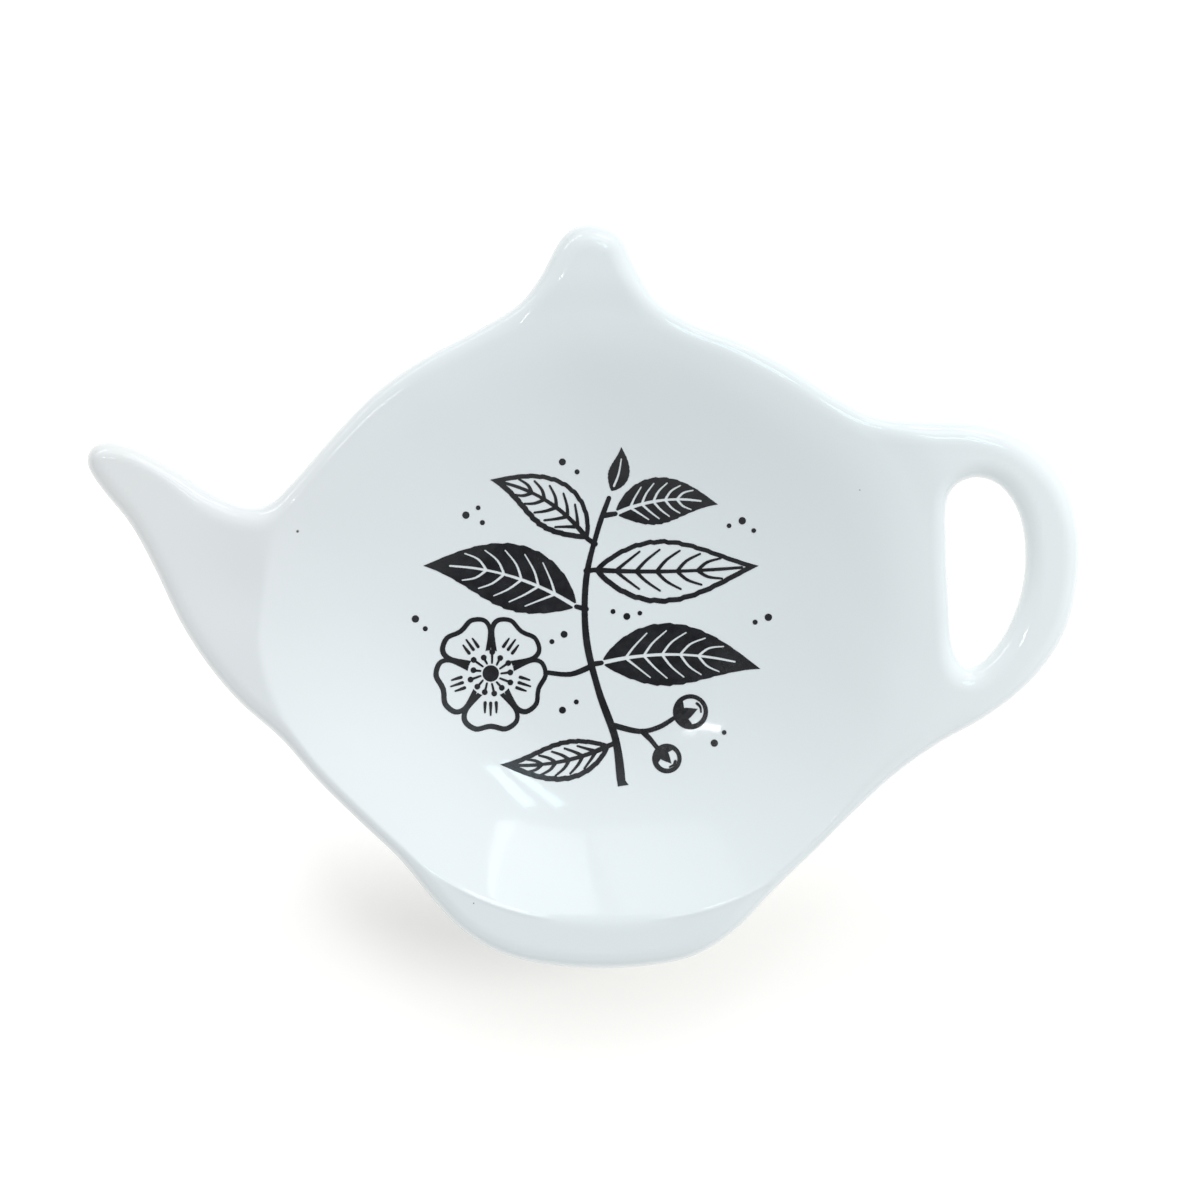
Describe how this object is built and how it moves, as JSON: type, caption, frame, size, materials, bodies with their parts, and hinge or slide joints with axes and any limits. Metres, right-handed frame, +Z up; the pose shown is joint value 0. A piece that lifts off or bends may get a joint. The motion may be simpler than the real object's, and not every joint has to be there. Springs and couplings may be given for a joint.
{
  "type": "tea bag rest",
  "caption": "Shallow teapot-shaped porcelain dish with a dished recess for a used tea bag, spout, lid knob, loop handle and round foot ring.",
  "frame": {"origin": "on the table, under the middle of the dish's width and depth, with the dish lying flat on its foot ring", "axes": "+X from the spout towards the handle, +Y from the foot lip towards the lid knob, +Z up out of the recess"},
  "size_m": [0.12, 0.09, 0.0145],
  "materials": {
    "biscuit": "matt",
    "glaze": "gloss",
    "ink": "gloss"
  },
  "bodies": {
    "root": {"porcelain_body": "biscuit", "glaze_coat": "glaze", "glaze_foot_well": "glaze", "print_stem": "ink", "print_dark_leaves": "ink", "print_open_leaves": "ink", "print_blossom": "ink", "print_buds": "ink", "print_dots": "ink"}
  },
  "joints": []
}
